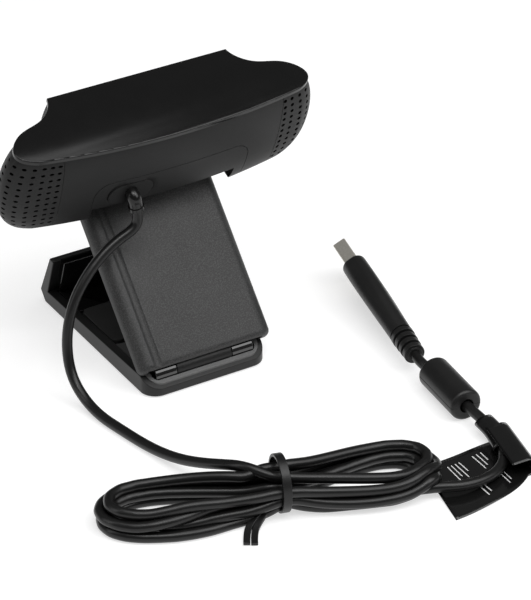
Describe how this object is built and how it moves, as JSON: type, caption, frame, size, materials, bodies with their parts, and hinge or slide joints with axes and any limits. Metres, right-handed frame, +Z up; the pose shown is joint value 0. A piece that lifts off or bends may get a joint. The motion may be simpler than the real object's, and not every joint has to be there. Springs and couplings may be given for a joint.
{
  "type": "webcam on clip stand",
  "caption": "Wide webcam head tilting on a folding clip stand with a weighted base, its USB cable tied in a hank with a ferrite bead and a plug.",
  "frame": {"origin": "on the table, centred in X and Y under the stand's base", "axes": "+Z up, -Y the way the lens looks, +X across the head; the base's length runs along Y"},
  "size_m": [0.1495, 0.1752, 0.0905],
  "materials": {
    "bead_grey": "satin",
    "board_green": "solder mask",
    "brass": "machined",
    "cable_black": "satin PVC jacket",
    "chip_dark": "gloss",
    "contact_gold": "gold plate",
    "ferrite": "sintered",
    "gloss_black": "gloss",
    "grey_plastic": "satin, fine speckle",
    "label_black": "gloss film",
    "lens_glass": "coated",
    "matte_black": "matte, fine grain",
    "microphone_metal": "satin",
    "nickel": "drawn nickel plate",
    "pipe_clear": "clear",
    "plug_black": "satin moulded PVC",
    "rubber": "matte rubber",
    "satin_black": "satin",
    "screw_steel": "black oxide",
    "soft_pad": "matte rubber",
    "stand_plastic": "satin",
    "steel": "zinc plate",
    "weight_steel": "raw",
    "white_plastic": "satin",
    "window_gloss": "high gloss"
  },
  "bodies": {
    "arm": {"arm_cover": "grey_plastic", "arm_frame": "stand_plastic", "arm_screws": "screw_steel", "friction_washers": "white_plastic", "cable_head_stretch": "cable_black", "cable_lead": "cable_black", "cable_tail": "cable_black", "cable_hank": "cable_black", "cable_tie": "cable_black", "cable_label": "label_black", "ferrite_core": "ferrite", "ferrite_jacket_upper": "plug_black", "ferrite_jacket_lower": "plug_black", "plug_relief": "plug_black", "plug_overmold": "plug_black", "usb_shell": "nickel", "usb_tongue": "white_plastic", "usb_contacts": "contact_gold"},
    "head": {"top_cover": "satin_black", "grille_left": "matte_black", "grille_right": "matte_black", "rear_shell": "matte_black", "hinge_cover": "matte_black", "front_bezel": "matte_black", "strain_relief_plate": "matte_black", "cable_boot": "gloss_black", "hinge_housing": "matte_black", "tilt_pin": "steel", "front_window": "window_gloss", "lens_ring": "satin_black", "lens_barrel": "satin_black", "lens_front_glass": "lens_glass", "lens_rear_glass": "lens_glass", "lens_holder": "satin_black", "image_sensor": "chip_dark", "main_board": "board_green", "board_connector": "white_plastic", "led_light_pipe": "pipe_clear", "microphone_left": "microphone_metal", "microphone_right": "microphone_metal", "board_screws": "steel"},
    "base": {"base_shell": "stand_plastic", "base_cover": "matte_black", "base_weight": "weight_steel", "base_pad": "soft_pad", "lip_liner": "gloss_black", "hinge_bed": "gloss_black", "hinge_knuckles": "gloss_black", "hinge_bead": "bead_grey", "rubber_feet": "rubber", "base_screws": "screw_steel", "tripod_insert": "brass", "fold_pin": "steel"}
  },
  "joints": [
    {"name": "head_tilt", "type": "hinge", "parent": "arm", "child": "head", "pos_m": [0, -0.0069, 0.0625], "axis": [-1, 0, 0], "range_deg": [-40, 20], "deforming": ["cable_head_stretch"]},
    {"name": "stand_fold", "type": "hinge", "parent": "arm", "child": "base", "pos_m": [0, 0.0299, 0.0054], "axis": [-1, 0, 0], "range_deg": [-35, 30]}
  ]
}
